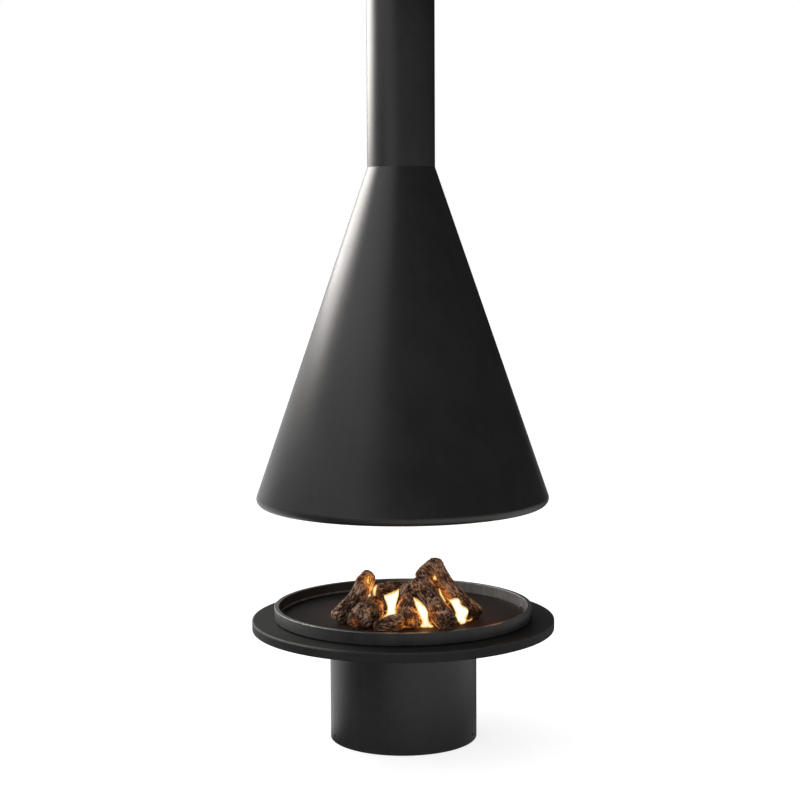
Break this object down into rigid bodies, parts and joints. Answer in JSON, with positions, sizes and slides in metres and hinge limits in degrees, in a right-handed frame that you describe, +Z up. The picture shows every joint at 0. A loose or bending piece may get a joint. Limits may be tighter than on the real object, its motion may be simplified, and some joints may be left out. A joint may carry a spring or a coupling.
{
  "type": "suspended round gas fire",
  "caption": "Round gas log fire: a conical hood on a flue tube hangs from the ceiling over a disc hearth with a fender ring, ceramic logs and a drum pedestal.",
  "frame": {"origin": "middle of the pedestal's foot on the floor, on the flue's axis", "axes": "+Z up along the flue; -Y towards the front seen in the picture, +X to the right; the service door is at the back, on +Y"},
  "size_m": [0.9999, 1, 2.56],
  "materials": {
    "charcoal_coat": "matt charcoal heat-proof coat",
    "bare_sheet": "bare sheet steel",
    "zinc_steel": "zinc-plated steel",
    "brass": "bare brass and copper",
    "cast_alloy": "cast alloy",
    "ceramic_log": "dark brown fibre-ceramic bark",
    "ember_chips": "rough glowing chips",
    "white_ceramic": "white insulator",
    "black_plastic": "black moulding",
    "red_plastic": "red moulding",
    "yellow_plastic": "yellow dipped lever",
    "silicone": "silicone sleeve"
  },
  "bodies": {
    "root": {"hood_cone": "charcoal_coat", "inner_hood": "bare_sheet", "hood_spacers": "bare_sheet", "neck_flange": "bare_sheet", "hanger_rods": "zinc_steel", "hanger_nuts": "zinc_steel", "flue_tube": "charcoal_coat", "flue_liner": "bare_sheet", "ceiling_plate": "bare_sheet", "ceiling_cover": "charcoal_coat", "cover_screws": "zinc_steel", "hearth_disc": "charcoal_coat", "disc_underplate": "charcoal_coat", "disc_ribs": "zinc_steel", "underplate_screws": "zinc_steel", "fender_ring": "charcoal_coat", "deck_plate": "charcoal_coat", "deck_clips": "zinc_steel", "log_grate": "charcoal_coat", "pedestal_shell": "charcoal_coat", "foot_plate": "charcoal_coat", "support_frame": "zinc_steel", "shell_screws": "zinc_steel", "hinge_pins": "zinc_steel", "burner_bowl": "bare_sheet", "burner_ring": "bare_sheet", "burner_feet": "bare_sheet", "mixing_tube": "bare_sheet", "injector": "brass", "injector_bracket": "bare_sheet", "ember_tray": "bare_sheet", "ember_bed": "ember_chips", "pilot_burner": "brass", "thermocouple": "brass", "spark_electrode": "white_ceramic", "gas_valve": "cast_alloy", "control_panel": "bare_sheet", "igniter_body": "black_plastic", "igniter_lead": "silicone", "stop_valve": "brass", "inlet_nipple": "zinc_steel", "supply_pipe": "brass", "burner_pipe": "brass", "rear_log": "ceramic_log", "left_log": "ceramic_log", "front_log": "ceramic_log", "middle_log": "ceramic_log", "right_log": "ceramic_log", "left_leaning_log": "ceramic_log", "long_leaning_log": "ceramic_log", "right_leaning_log": "ceramic_log"},
    "door": {"access_door": "charcoal_coat"},
    "latch": {"door_latch": "zinc_steel"},
    "knob": {"control_knob": "black_plastic"},
    "lever": {"stop_lever": "yellow_plastic"},
    "button": {"igniter_button": "red_plastic"}
  },
  "joints": [
    {"name": "door_hinge", "type": "hinge", "parent": "root", "child": "door", "pos_m": [-0.124, 0.21477, 0.186], "axis": [0, 0, 1], "range_deg": [0, 110]},
    {"name": "latch_turn", "type": "hinge", "parent": "door", "child": "latch", "pos_m": [0.09481, 0.22048, 0.186], "axis": [-0.3951, -0.9187, 0], "range_deg": [0, 90]},
    {"name": "knob_turn", "type": "hinge", "parent": "root", "child": "knob", "pos_m": [0, 0.17, 0.17], "axis": [0, -1, 0], "range_deg": [0, 180]},
    {"name": "lever_turn", "type": "hinge", "parent": "root", "child": "lever", "pos_m": [-0.10009, 0.155, 0.065], "axis": [0, 1, 0], "range_deg": [0, 90]},
    {"name": "button_push", "type": "slide", "parent": "root", "child": "button", "axis": [0, -1, 0], "range_m": [0, 0.005], "stiffness_N_per_m": 200}
  ]
}
